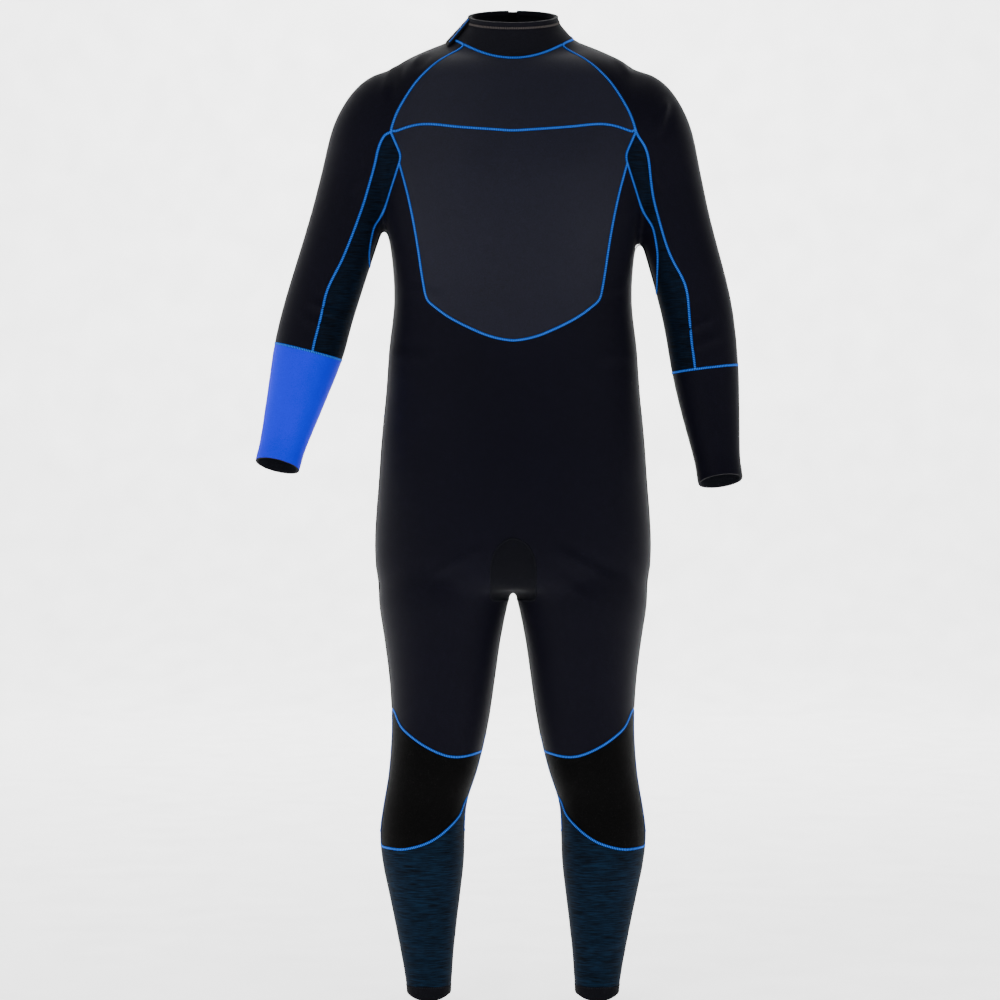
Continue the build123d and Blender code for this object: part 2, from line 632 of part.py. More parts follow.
with BuildPart() as collar_loop_patch:
    add(loop_layer)
    add(patch_sector, mode=Mode.INTERSECT)
collar_loop_patch.part.label = "collar_loop_patch"
export_step(collar_loop_patch.part.moved(AT_NECK), "parts/collar_loop_patch.step")
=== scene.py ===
import bpy
import bmesh
import json
import math
import numpy as np
from mathutils import Matrix, Vector


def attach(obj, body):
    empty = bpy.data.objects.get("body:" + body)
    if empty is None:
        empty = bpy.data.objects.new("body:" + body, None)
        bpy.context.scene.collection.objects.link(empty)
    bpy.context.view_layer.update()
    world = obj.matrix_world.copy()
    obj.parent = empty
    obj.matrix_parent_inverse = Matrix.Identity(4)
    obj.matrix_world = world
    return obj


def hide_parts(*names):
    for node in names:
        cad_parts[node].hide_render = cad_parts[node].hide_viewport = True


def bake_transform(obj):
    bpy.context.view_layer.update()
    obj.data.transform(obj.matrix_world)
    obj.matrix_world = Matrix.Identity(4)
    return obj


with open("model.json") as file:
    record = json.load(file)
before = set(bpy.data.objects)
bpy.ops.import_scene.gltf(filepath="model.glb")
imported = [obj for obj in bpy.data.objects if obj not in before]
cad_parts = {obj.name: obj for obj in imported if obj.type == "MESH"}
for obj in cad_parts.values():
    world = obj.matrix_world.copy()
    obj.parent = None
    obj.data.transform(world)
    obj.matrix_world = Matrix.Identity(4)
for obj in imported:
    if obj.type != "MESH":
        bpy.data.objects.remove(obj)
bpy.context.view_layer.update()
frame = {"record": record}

# The suit's skin is one smooth surface, grown from the frame's stations, then cut along its seams into
# panels. Metres, +Z up, -Y the front, +X the wearer's left.
GRAIN = 0.005              # size of the skin's faces
THICK = 0.0036             # neoprene
RING = 56                  # points round one section
SIDE_SEAM = -0.008         # y where the front and the back meet
HEM = 0.020                # height of an ankle hem's seam
CUFF = 0.010               # from a wrist mount to each edge of its hem
COLLAR_EDGE = 0.0035       # from the neck mount up to the collar's cut edge
ANKLE_OUT = 0.1245         # from the middle of the suit to the middle of an ankle
ANKLE_HALF = 0.034
SEAM_WIDE = 0.0035
DARK_SHARE = 0.8           # width of a dark seam against a blue one
SUNK = 0.0004              # a panel's sewn edges lie this far in, under the seam
STITCH_PITCH = 0.0026
KNEE = 0.320               # height of the knee's bending line
KNEE_REACH = 0.072         # the knee's back panel, above and below that line
ELBOW_REACH = 0.058        # from the elbow down to the forearm's seam
CROTCH_HALF = 0.07         # the crotch is smoothed out to here, between the two heights
CROTCH = (0.55, 0.66)
SIDES = {"right": -1, "left": 1}

joint_at = {j["name"]: Vector(j["pos_m"]) for j in frame["record"]["behaviour"]["joints"] if "pos_m" in j}
mount_at = {m["name"]: Vector(m["pos_m"]) for m in frame["record"]["mounts"]}
mount_way = {m["name"]: Vector(m["axis"]) for m in frame["record"]["mounts"]}

# Sizes below are laid out from a point between the ankles, 3 mm in front of their mounts and 10 mm lower.
# SHIFT carries them to the frame's own origin.
SHIFT = (mount_at["right_ankle_opening"] + mount_at["left_ankle_opening"]) / 2 - Vector((0, .003, .010))
joint_at = {name: point - SHIFT for name, point in joint_at.items()}
mount_at = {name: point - SHIFT for name, point in mount_at.items()}

# Trunk: height, half width, front, back, forward lean in degrees, fullness
TRUNK = [
    (.606, .196, -.100, .114, 0, 2.4), (.64, .203, -.110, .126, 0, 2.45), (.69, .204, -.113, .132, 0, 2.4),
    (.76, .199, -.112, .128, 0, 2.3), (.83, .194, -.107, .119, 0, 2.3), (.90, .187, -.104, .112, 0, 2.3),
    (.96, .183, -.103, .1099, 0, 2.3), (1.03, .175, -.106, .1075, 0, 2.3), (1.10, .179, -.114, .105, 0, 2.3),
    (1.16, .190, -.120, .1029, 0, 2.3), (1.23, .200, -.121, .1005, 0, 2.2),
    (1.29, .204, -.112, .0984, 0, 2.1),
    (1.33, .204, -.100, .097, 1, 2), (1.362, .190, -.094, .094, 5, 2), (1.385, .165, -.088, .090, 10, 2),
    (1.402, .128, -.085, .086, 16, 2), (1.412, .096, -.084, .080, 21, 2),
    (1.4275, .0802, -.0818, .0668, 19.5, 2),
    (1.443, .0665, -.0795, .0535, 17.5, 2), (1.4535, .0662, -.0825, .0500, 17.5, 2),
    (1.475, .0655, -.089, .0430, 17.5, 2),
]
# Arms: distance from the middle, y, height, splay, forward reach, half width, half depth
ARM = {
    "right": [(.110, .004, 1.322, 72, 0, .056, .062), (.165, .004, 1.300, 56, 0, .078, .074),
              (.205, .004, 1.262, 38, 0, .070, .074), (.230, .003, 1.200, 24, 0, .058, .066),
              (.250, .002, 1.136, 17.5, 0, .054, .061), (.2855, 0, 1.022, 15, 0, .053, .055),
              (.302, -.003, .958, 14, 5, .052, .052), (.319, -.014, .892, 13.5, 12, .044, .046),
              (.336, -.030, .826, 13, 16, .0355, .036), (.341, -.036, .806, 13, 17, .034, .034)],
    "left": [(.110, .004, 1.322, 72, 0, .056, .062), (.165, .004, 1.300, 56, 0, .078, .074),
             (.202, .004, 1.262, 38, 0, .070, .074), (.224, .003, 1.200, 22, 0, .058, .066),
             (.241, .002, 1.136, 15, 0, .054, .061), (.271, 0, 1.022, 11, 0, .053, .055),
             (.284, -.003, .932, 8.5, 5, .050, .051), (.291, -.013, .872, 8, 12, .044, .045),
             (.299, -.028, .806, 7.5, 16, .0355, .036), (.3015, -.033, .784, 7.5, 17, .034, .034)],
}
# Legs: height, distance from the middle, half width, y of the middle, half depth
LEG = [(.69, .096, .090, .008, .096), (.604, .1015, .0975, .006, .103), (.537, .104, .0866, .005, .094),
       (.471, .1045, .0777, .004, .084), (.404, .108, .071, .002, .073), (.337, .118, .065, 0, .065),
       (.293, .129, .0614, .002, .060), (.248, .134, .063, .006, .062), (.204, .133, .0607, .008, .061),
       (.160, .131, .054, .008, .054), (.115, .129, .0466, .006, .047), (.071, .127, .040, .004, .040),
       (.020, .1245, .034, .003, .034), (-.015, .1245, .034, .003, .034)]

# Seams seen from the front, as (distance from the middle, height)
RAGLAN = [(.060, 1.460), (.072, 1.400), (.093, 1.388), (.115, 1.372), (.142, 1.345), (.161, 1.316),
          (.173, 1.292), (.179, 1.272)]
SLEEVE_SEAM = {
    "right": [(.186, 1.270), (.196, 1.251), (.201, 1.228), (.211, 1.194), (.221, 1.162), (.247, 1.094),
              (.271, 1.045), (.279, 1.012), (.287, .980), (.293, .956), (.300, .90)],
    "left": [(.184, 1.262), (.193, 1.251), (.198, 1.228), (.202, 1.194), (.208, 1.165), (.228, 1.098),
             (.252, 1.050), (.258, .999), (.262, .960), (.266, .930), (.270, .88)],
}
ARMPIT = [(.162, 1.236), (.176, 1.196), (.190, 1.160), (.205, 1.138)]
CHEST_SIDE = [(.178, 1.268), (.166, 1.228), (.152, 1.176), (.141, 1.120), (.132, 1.060), (.126, 1.027)]
CHEST_FOOT = [(.126, 1.027), (.097, 1.004), (.066, .987), (.033, .973), (0, .966)]
CROSS_SEAM = [(.178, 1.271), (.134, 1.281), (.074, 1.274), (0, 1.268)]
GUSSET = [(.033, .590), (.032, .640), (.027, .662), (.015, .677), (0, .682)]
KNEE_TOP = [(.220, .436), (.178, .430), (.166, .407), (.145, .389), (.121, .374), (.096, .364), (.075, .362),
            (.046, .367), (.010, .372)]
KNEE_FOOT = [(.220, .228), (.181, .226), (.160, .226), (.136, .232), (.115, .241), (.093, .258),
             (.076, .277), (.066, .300), (.010, .320)]
SEAT_TOP = .862
THIGH_TOP = .640
ZIP_FOOT = .905
ZIP_SLOT = .008            # half width of the gap for the zip

# The neck seam: height at the middle of the front, its rise to the sides, and height there
NECK_FRONT = 1.378
NECK_RISE = 4.9
NECK_SIDE = 1.421


# ---------------------------------------------------------------- skin
def smooth_rows(rows, steps):
    """Stations joined by a smooth curve, as many as steps between each two."""
    table = np.array(rows, float)
    out = []
    last = len(table) - 1
    for i in range(last):
        p0, p1, p2, p3 = table[max(i - 1, 0)], table[i], table[i + 1], table[min(i + 2, last)]
        for k in range(steps):
            t = k / steps
            bend = 2 * p0 - 5 * p1 + 4 * p2 - p3 + t * (3 * (p1 - p2) + p3 - p0)
            out.append(p1 + .5 * t * (p2 - p0 + t * bend))
    out.append(table[-1])
    return out


def section(middle, across, deep, fullness=2.0):
    """One ring of points, from its middle and its two half axes."""
    points = []
    for i in range(RING):
        turn = 2 * math.pi * i / RING
        c, s = math.cos(turn), math.sin(turn)
        u = math.copysign(abs(c) ** (2 / fullness), c)
        v = math.copysign(abs(s) ** (2 / fullness), s)
        points.append(middle + across * u + deep * v)
    return points


def lean_vector(lean):
    return Vector((0, math.cos(math.radians(lean)), math.sin(math.radians(lean))))


def trunk_rings():
    rings = []
    for z, half, front, back, lean, full in smooth_rows(TRUNK, 3):
        middle = Vector((0, (front + back) / 2, z))
        rings.append(section(middle, Vector((half, 0, 0)), lean_vector(lean) * (back - front) / 2, full))
    return rings


def arm_rings(name):
    side = SIDES[name]
    rings = []
    for out, y, z, splay, reach, half, deep in smooth_rows(ARM[name], 4):
        s, f = math.radians(splay), math.radians(reach)
        hand = Vector((side * math.sin(s) * math.cos(f), -math.sin(f), -math.cos(s) * math.cos(f)))
        across = Vector((side * math.cos(s), 0, math.sin(s)))
        rings.append(section(Vector((side * out, y, z)), across * half, hand.cross(across) * deep))
    rings.append([p + hand * .035 for p in rings[-1]])
    return rings


def leg_rings(name):
    side = SIDES[name]
    rings = []
    for z, out, half, y, deep in smooth_rows(LEG, 3):
        rings.append(section(Vector((side * out, y, z)), Vector((half, 0, 0)), Vector((0, deep, 0)), 2.1))
    return rings


def add_loft(bm, rings):
    """A closed tube through the rings."""
    made = [[bm.verts.new(p) for p in ring] for ring in rings]
    for low, high in zip(made, made[1:]):
        for i in range(RING):
            j = (i + 1) % RING
            bm.faces.new((low[i], low[j], high[j], high[i]))
    bm.faces.new(made[0])
    bm.faces.new(made[-1])


def make_skin():
    """The whole outside of the suit as one even mesh."""
    parts = [trunk_rings()]
    for name in SIDES:
        parts += [arm_rings(name), leg_rings(name)]
    bm = bmesh.new()
    for rings in parts:
        add_loft(bm, rings)
    bmesh.ops.recalc_face_normals(bm, faces=bm.faces)
    mesh = bpy.data.meshes.new("skin")
    bm.to_mesh(mesh)
    bm.free()
    obj = bpy.data.objects.new("skin", mesh)
    bpy.context.scene.collection.objects.link(obj)
    remesh = obj.modifiers.new("even", "REMESH")
    remesh.mode = "VOXEL"
    remesh.voxel_size = GRAIN
    soft = obj.modifiers.new("soft", "SMOOTH")
    soft.factor = .5
    soft.iterations = 16
    done = bpy.data.meshes.new_from_object(obj.evaluated_get(bpy.context.evaluated_depsgraph_get()))
    bpy.data.objects.remove(obj)
    return done


# ---------------------------------------------------------------- folds
def ease(x, low, high):
    t = np.clip((x - low) / (high - low), 0, 1)
    return t * t * (3 - 2 * t)


def fold(points, start, end, wide, height):
    """A soft ridge (or groove, when height is negative) along a line in the front view."""
    a, b = np.array(start), np.array(end)
    along = b - a
    length = np.linalg.norm(along)
    along = along / length
    rel = points[:, [0, 2]] - a
    t = rel @ along
    d = rel @ np.array([-along[1], along[0]])
    t = t / length
    window = ease(t, -.12, .25) * (1 - ease(t, .7, 1.12))
    return height * window * (np.exp(-(d / wide) ** 2) - .6 * np.exp(-((d - 1.7 * wide) / wide) ** 2))


# Folds by the side of the suit that they are on: start and end in the front view, width, height
FOLDS = {
    "front": [
        ((-.172, 1.388), (-.190, 1.320), .007, .0035), ((-.130, 1.398), (-.146, 1.372), .006, .0025),
        ((.225, 1.322), (.209, 1.268), .007, .0035), ((.150, 1.392), (.170, 1.360), .006, .002),
        ((.066, .664), (.148, .617), .008, .0022), ((-.050, .664), (-.130, .622), .008, .0018),
        ((.050, .640), (.110, .590), .007, .0016), ((-.160, 1.045), (-.100, 1.030), .007, .0012),
        ((.165, 1.050), (.105, 1.028), .007, .0012), ((-.185, .955), (-.120, .940), .009, .0012),
        ((.185, .950), (.120, .942), .009, .0012), ((-.300, 1.030), (-.250, 1.000), .006, .0022),
        ((-.310, 1.005), (-.262, .985), .006, .0018), ((.292, 1.002), (.240, .978), .006, .0022),
        ((.305, .975), (.250, .955), .006, .0016),
    ],
    "back": [
        ((-.165, .345), (-.085, .335), .007, .0014), ((.165, .345), (.085, .335), .007, .0014),
        ((-.165, .310), (-.090, .305), .007, .0014), ((.165, .310), (.090, .305), .007, .0014),
        ((-.120, .945), (-.030, .930), .010, .0022), ((.120, .945), (.030, .930), .010, .0022),
        ((-.130, .910), (-.030, .900), .010, .0018), ((.130, .910), (.030, .900), .010, .0018),
        ((-.140, .655), (-.050, .640), .009, .0020), ((.140, .655), (.050, .640), .009, .0020),
    ],
    "both": [
        ((-.232, 1.190), (-.200, 1.225), .006, .0022), ((.222, 1.190), (.196, 1.225), .006, .0022),
        ((-.160, .085), (-.105, .080), .006, .0010), ((.160, .085), (.105, .080), .006, .0010),
        ((-.158, .060), (-.105, .056), .005, .0009), ((.158, .060), (.105, .056), .005, .0009),
    ],
}


def shape_skin(mesh):
    """Folds, spine hollow, seat, shoulder blades, chest and calves, as moves along the normals."""
    count = len(mesh.vertices)
    points, normals = np.empty(count * 3), np.empty(count * 3)
    mesh.vertices.foreach_get("co", points)
    mesh.vertices.foreach_get("normal", normals)
    points, normals = points.reshape(-1, 3), normals.reshape(-1, 3)
    move = np.zeros(count)
    front = ease(-points[:, 1], -.01, .03)
    back = 1 - front
    shares = {"front": front, "back": back, "both": 1}
    for where, folds in FOLDS.items():
        for start, end, wide, height in folds:
            move += shares[where] * fold(points, start, end, wide, height)
    x, z = points[:, 0], points[:, 2]
    near_zip = np.exp(-(x / .02) ** 2)
    move -= back * .006 * np.exp(-(x / .035) ** 2) * ease(z, .70, .80) * (1 - ease(z, .84, .90))
    for side in SIDES.values():
        seat = np.exp(-((x - side * .085) / .055) ** 2 - ((z - .70) / .060) ** 2)
        blade = np.exp(-((x - side * .085) / .045) ** 2 - ((z - 1.22) / .070) ** 2)
        move += back * (1 - near_zip) * (.007 * seat + .0035 * blade)
        chest = np.exp(-((x - side * .075) / .055) ** 2 - ((z - 1.215) / .050) ** 2)
        calf = np.exp(-((x - side * .134) / .040) ** 2 - ((z - .24) / .060) ** 2)
        move += front * .003 * chest + back * .004 * calf
    points += normals * move[:, None]
    mesh.vertices.foreach_set("co", points.ravel())
    mesh.update()


# ---------------------------------------------------------------- fields that bound the panels
def curve(points, steps=5):
    """A smooth line through a seam's few points."""
    return [tuple(p) for p in smooth_rows(points, steps)]


def half(seam, side):
    return [(side * x, z) for x, z in seam]


def both(seam):
    """A seam from side to middle, and its mirror image, as one line."""
    return half(seam, -1) + [(x, z) for x, z in reversed(seam) if x > 0]


def inside(outline):
    """How far a point is inside an outline in the front view: positive inside."""
    ring = np.array(outline)
    nxt = np.roll(ring, -1, axis=0)

    def field(p):
        q = p[:, [0, 2]]
        best = np.full(len(q), 1e9)
        hit = np.zeros(len(q), bool)
        for a, b in zip(ring, nxt):
            ab = b - a
            t = np.clip(((q - a) @ ab) / max(ab @ ab, 1e-12), 0, 1)
            best = np.minimum(best, np.linalg.norm(q - a - t[:, None] * ab, axis=1))
            if a[1] != b[1]:
                cross = (a[1] > q[:, 1]) != (b[1] > q[:, 1])
                at = a[0] + (q[:, 1] - a[1]) * ab[0] / ab[1]
                hit ^= cross & (q[:, 0] < at)
        return np.where(hit, best, -best)
    return field


def front_of(field):
    return lambda p: np.minimum(field(p), SIDE_SEAM - p[:, 1])


def beyond(point, way):
    """Positive past a plane."""
    point, way = np.array(point), np.array(way)
    return lambda p: (p - point) @ way


def near_limb(field, name, low):
    """Keeps a limb's field on its own side of the suit, outside the trunk."""
    side = SIDES[name]
    return lambda p: np.minimum(field(p), side * p[:, 0] - low)


def neck_field(p):
    """Above the neck seam, which dips at the front."""
    front = np.minimum(NECK_FRONT + NECK_RISE * p[:, 0] ** 2, NECK_SIDE)
    return p[:, 2] - np.where(p[:, 1] < 0, front, NECK_SIDE + .25 * p[:, 1])


def elbow_line(name):
    """The arm's direction and the middle of its elbow."""
    middle = joint_at[f"{name}_elbow"]
    reach = mount_at[f"{name}_wrist_opening"] - middle
    return middle, Vector((reach.x, 0, reach.z)).normalized()


def cut(bm, field, allowed, label_layer):
    """Splits the faces with an allowed label along a field's zero line."""
    verts = list(bm.verts)
    bm.verts.index_update()
    value = field(np.array([v.co for v in verts]))
    value[np.abs(value) < .08 * GRAIN] = 0
    points = [v for v, f in zip(verts, value) if f == 0]
    edges = []
    for e in bm.edges:
        a, b = value[e.verts[0].index], value[e.verts[1].index]
        if a * b < 0 and any(f[label_layer] in allowed for f in e.link_faces):
            edges.append((e, e.verts[0], a / (a - b)))
    for e, v, t in edges:
        points.append(bmesh.utils.edge_split(e, v, t)[1])
    bmesh.ops.connect_verts(bm, verts=points, check_degenerate=True)


def claim(bm, layer, label, field, allowed):
    """Gives a label to the allowed faces inside a field, once they are cut along its edge."""
    cut(bm, field, allowed, layer)
    faces = [f for f in bm.faces if f[layer] in allowed]
    value = field(np.array([f.calc_center_median() for f in faces]))
    for f, v in zip(faces, value):
        if v > 0:
            f[layer] = label


# ---------------------------------------------------------------- materials
def material(name, colour, rough, sheen=0.0, speck=0.0, speck_colour=None, scale=900, bump=.25, depth=.0004,
             stretch=(1, 1, 1), metal=0.0, streak=0.0, shine=.045):
    """A knit or moulded surface: fine speckle, slow variation, roughness and bump, all in object space."""
    mat = bpy.data.materials.new(name)
    mat.use_nodes = True
    nodes, links = mat.node_tree.nodes, mat.node_tree.links
    shader = nodes["Principled BSDF"]
    shader.inputs["Roughness"].default_value = rough
    shader.inputs["Metallic"].default_value = metal
    shader.inputs["Sheen Weight"].default_value = sheen
    shader.inputs["Sheen Roughness"].default_value = .45
    shader.inputs["Specular IOR Level"].default_value = shine
    place = nodes.new("ShaderNodeTexCoord")
    scaled = nodes.new("ShaderNodeMapping")
    scaled.inputs["Scale"].default_value = stretch
    links.new(place.outputs["Object"], scaled.inputs["Vector"])
    fine = nodes.new("ShaderNodeTexNoise")
    fine.inputs["Scale"].default_value = scale
    fine.inputs["Detail"].default_value = 3
    fine.inputs["Roughness"].default_value = .65
    links.new(scaled.outputs["Vector"], fine.inputs["Vector"])
    slow = nodes.new("ShaderNodeTexNoise")
    slow.inputs["Scale"].default_value = 9
    slow.inputs["Detail"].default_value = 2
    links.new(place.outputs["Object"], slow.inputs["Vector"])
    ramp = nodes.new("ShaderNodeValToRGB")
    ramp.color_ramp.elements[0].position = .5 - .22 * (1 - streak)
    ramp.color_ramp.elements[1].position = .5 + .22 * (1 - streak)
    low = [c * (1 - speck) for c in colour]
    high = speck_colour or [c * (1 + 1.6 * speck) for c in colour]
    ramp.color_ramp.elements[0].color = (*low, 1)
    ramp.color_ramp.elements[1].color = (*high, 1)
    links.new(fine.outputs["Fac"], ramp.inputs["Fac"])
    tone = nodes.new("ShaderNodeMapRange")
    tone.inputs["To Min"].default_value = .82
    tone.inputs["To Max"].default_value = 1.18
    links.new(slow.outputs["Fac"], tone.inputs["Value"])
    mix = nodes.new("ShaderNodeVectorMath")
    mix.operation = "SCALE"
    links.new(ramp.outputs["Color"], mix.inputs[0])
    links.new(tone.outputs["Result"], mix.inputs["Scale"])
    links.new(mix.outputs["Vector"], shader.inputs["Base Color"])
    relief = nodes.new("ShaderNodeBump")
    relief.inputs["Strength"].default_value = bump
    relief.inputs["Distance"].default_value = depth
    links.new(fine.outputs["Fac"], relief.inputs["Height"])
    links.new(relief.outputs["Normal"], shader.inputs["Normal"])
    return mat


MAT = {
    "jersey": material("knit_jersey", (.0014, .0013, .0038), .62, sheen=.015, speck=.65, scale=1100),
    "chest": material("smooth_chest_jersey", (.0028, .0030, .0078), .60, sheen=.02, speck=.65, scale=800,
                      bump=.4, shine=.12),
    "heather": material("streaked_jersey", (.0001, .0011, .0034), .75, sheen=.01, speck=.85,
                        speck_colour=(.0012, .0095, .0240), scale=420, stretch=(.11, .11, 2.0),
                        streak=.25, bump=.3),
    "sleeve_heather": material("streaked_sleeve_jersey", (.0003, .0006, .0020), .75, sheen=.01, speck=.85,
                               speck_colour=(.0007, .0050, .0140), scale=420, stretch=(.11, .11, 2.0),
                               streak=.25, bump=.3),
    "knee": material("grainy_knee_print", (.0005, .0005, .0005), .60, speck=.80, scale=520, bump=.9,
                     depth=.0009, shine=.03),
    "collar": material("collar_jersey", (.0030, .0031, .0050), .78, sheen=.02, speck=.40, scale=1000),
    "blue": material("blue_jersey", (.0001, .0030, .6000), .62, sheen=.01, speck=.14, scale=1100, bump=.3),
    "black": material("black_jersey", (.0020, .0021, .0034), .80, sheen=.01, speck=.5, scale=900),
    "lining": material("inner_lining", (.0050, .0055, .0080), .85, sheen=.02, speck=.5, scale=700, bump=.5),
    "seam_base": material("seam_bed", (.0020, .0150, .0900), .70, speck=.3, scale=1500),
    "seam_thread": material("seam_thread", (.0120, .1150, .5600), .60, sheen=.02, speck=.15, scale=2500,
                            bump=.3),
    "dark_thread": material("dark_thread", (.0042, .0044, .0068), .60, speck=.2, scale=2500),
    "rim_thread": material("rim_thread", (.0600, .0520, .0500), .65, speck=.2, scale=2500),
    "zip": material("zip_teeth_acetal", (.0060, .0060, .0068), .45, speck=.15, scale=300, bump=.05,
                    shine=.3),
    "zip_tape": material("woven_zip_tape", (.0060, .0060, .0075), .85, speck=.5, scale=900,
                         stretch=(1, 1, 3), bump=.6),
    "pull": material("slider_metal", (.0500, .0500, .0540), .32, speck=.1, scale=200, bump=.05, metal=.9,
                     shine=.5),
    "loop": material("loop_pile", (.0060, .0060, .0080), .95, sheen=.08, speck=.6, scale=1600, bump=1.0,
                     depth=.001),
}


# ---------------------------------------------------------------- panels
LIMB_PARTS = ("raglan_sleeve", "underarm_panel", "forearm", "wrist_hem", "back_panel", "thigh_front",
              "thigh_back", "knee_pad", "knee_back", "shin", "ankle_hem")
LABELS = ["front_body", "collar", "chest_yoke", "chest_panel", "crotch_gusset", "seat_panel"]
LABELS += [f"{name}_{part}" for name in SIDES for part in LIMB_PARTS]
CODE = {label: i for i, label in enumerate(LABELS)}
# Neighbours with no stitching between them
NO_SEAM = [{"front_body", "right_thigh_front"}, {"front_body", "left_thigh_front"},
           {"right_raglan_sleeve", "left_raglan_sleeve"}, {"right_forearm", "right_wrist_hem"},
           {"left_forearm", "left_wrist_hem"}]


def codes_of(name):
    """The codes of one side's panels, by part."""
    return {part: CODE[f"{name}_{part}"] for part in LIMB_PARTS}


def remove_where(bm, layer, field, allowed):
    """Cuts the skin along a field's edge and takes away what is inside the field."""
    cut(bm, field, allowed, layer)
    faces = [f for f in bm.faces if f[layer] in allowed]
    value = field(np.array([f.calc_center_median() for f in faces]))
    bmesh.ops.delete(bm, geom=[f for f, v in zip(faces, value) if v > 0], context="FACES")


def hem_edge(p):
    """Below the ankle hems, whose lower edges rise at the sides of the foot."""
    across = (np.abs(p[:, 0]) - ANKLE_OUT) / ANKLE_HALF
    return .010 * np.clip(across, -1.2, 1.2) ** 2 - p[:, 2]


def split_panels(bm):
    """Labels every face with its panel. Each opening's cut is kept to its own end of the suit."""
    layer = bm.faces.layers.int.new("panel")
    body = {CODE["front_body"]}
    neck, up = mount_at["neck_opening"], mount_way["neck_opening"]
    high = lambda p: np.minimum(beyond(neck + up * COLLAR_EDGE, up)(p), p[:, 2] - 1.40)
    remove_where(bm, layer, high, body)
    remove_where(bm, layer, lambda p: np.minimum(hem_edge(p), .1 - p[:, 2]), body)
    claim(bm, layer, CODE["collar"], neck_field, body)
    for name, side in SIDES.items():
        code = codes_of(name)
        wrist, hand = mount_at[f"{name}_wrist_opening"], mount_way[f"{name}_wrist_opening"]
        past = near_limb(beyond(wrist + hand * CUFF, hand), name, .22)
        remove_where(bm, layer, lambda p: np.minimum(past(p), .9 - p[:, 2]), body)
        seam = curve(RAGLAN[1:] + SLEEVE_SEAM[name])
        sleeve = half([RAGLAN[0]] + seam + [(.30, .70), (.42, .70), (.42, 1.46)], side)
        claim(bm, layer, code["raglan_sleeve"], inside(sleeve), body)
        outer = [(.212, 1.10), (.215, .70), (.42, .70), (.42, 1.268), (.179, 1.274)]
        claim(bm, layer, code["underarm_panel"], inside(half(curve(ARMPIT) + outer, side)), body)
        elbow, way = elbow_line(name)
        cuff = beyond(elbow + way * ELBOW_REACH, way)
        claim(bm, layer, code["forearm"], cuff, {code["raglan_sleeve"], code["underarm_panel"]})
        claim(bm, layer, code["wrist_hem"], beyond(wrist - hand * CUFF, hand), {code["forearm"]})
    claim(bm, layer, CODE["crotch_gusset"], inside(both(curve(GUSSET))), body)
    top = [(.178, 1.30), (.178, 1.48), (-.178, 1.48), (-.178, 1.30)]
    claim(bm, layer, CODE["chest_yoke"], front_of(inside(both(curve(CROSS_SEAM)) + top)), body)
    foot = curve(CHEST_SIDE)[:-1] + curve(CHEST_FOOT)
    claim(bm, layer, CODE["chest_panel"], front_of(inside(both([(.178, 1.295)] + foot))), body)
    claim(bm, layer, CODE["seat_panel"], lambda p: p[:, 1] - SIDE_SEAM, body)
    behind = {CODE["seat_panel"]}
    for name, side in SIDES.items():
        code = codes_of(name)
        ours = lambda field: (lambda p: np.minimum(field(p), side * p[:, 0]))
        low = lambda z: ours(lambda p: z - p[:, 2])
        claim(bm, layer, code["back_panel"], ours(lambda p: p[:, 2] - SEAT_TOP), behind)
        claim(bm, layer, code["thigh_back"], low(THIGH_TOP), behind)
        claim(bm, layer, code["knee_back"], low(KNEE + KNEE_REACH), {code["thigh_back"]})
        claim(bm, layer, code["shin"], low(KNEE - KNEE_REACH), {code["knee_back"]})
        claim(bm, layer, code["thigh_front"], low(THIGH_TOP), body)
        below = [(0, -.05), (.22, -.05)]
        pad = inside(half(curve(KNEE_TOP) + [(0, .372)] + below, side))
        claim(bm, layer, code["knee_pad"], pad, {code["thigh_front"]})
        foot = inside(half(curve(KNEE_FOOT) + [(0, .32)] + below, side))
        claim(bm, layer, code["shin"], foot, {code["knee_pad"]})
        claim(bm, layer, code["ankle_hem"], low(HEM), {code["shin"]})
    slot = lambda p: np.minimum(np.minimum(ZIP_SLOT - np.abs(p[:, 0]), p[:, 1]), p[:, 2] - ZIP_FOOT)
    back = {CODE["right_back_panel"], CODE["left_back_panel"], CODE["collar"]}
    remove_where(bm, layer, slot, back)
    bm.normal_update()
    return layer


def one_cloth(faces, layer):
    """Whether two faces are on one panel of the real suit, though in two pieces here."""
    return len(faces) == 2 and {LABELS[f[layer]] for f in faces} in NO_SEAM


def panel_mesh(faces, name, layer):
    """One panel as a closed piece of neoprene: outer face, lining and cut edge."""
    chosen = set(faces)
    order = {}
    for f in faces:
        for v in f.verts:
            order.setdefault(v, len(order))
    rim = [l for f in faces for l in f.loops
           if not any(o in chosen for o in l.edge.link_faces if o is not f)]
    sewn = [l for l in rim if not one_cloth(l.edge.link_faces, layer)]
    sunk = {l.vert for l in sewn} | {l.link_loop_next.vert for l in sewn}
    outer = [v.co - v.normal * (SUNK if v in sunk else 0) for v in order]
    points = outer + [v.co - v.normal * THICK for v in order]
    shift = len(order)
    polys = [[order[v] for v in f.verts] for f in faces]
    polys += [[shift + order[v] for v in reversed(f.verts)] for f in faces]
    slots = [0] * len(faces) + [1] * len(faces)
    for l in rim:
        a, b = order[l.vert], order[l.link_loop_next.vert]
        at = len(points)
        points += [points[a], points[a + shift], points[b + shift], points[b]]
        polys.append([at, at + 1, at + 2, at + 3])
        slots.append(2)
    mesh = bpy.data.meshes.new(name)
    mesh.from_pydata(points, [], polys)
    mesh.polygons.foreach_set("material_index", slots)
    mesh.polygons.foreach_set("use_smooth", [s < 2 for s in slots])
    mesh.update()
    out = [v.normal for v in order]
    level = out + [-n for n in out] + [Vector()] * (len(points) - 2 * shift)
    mesh.normals_split_custom_set_from_vertices(level)
    return mesh


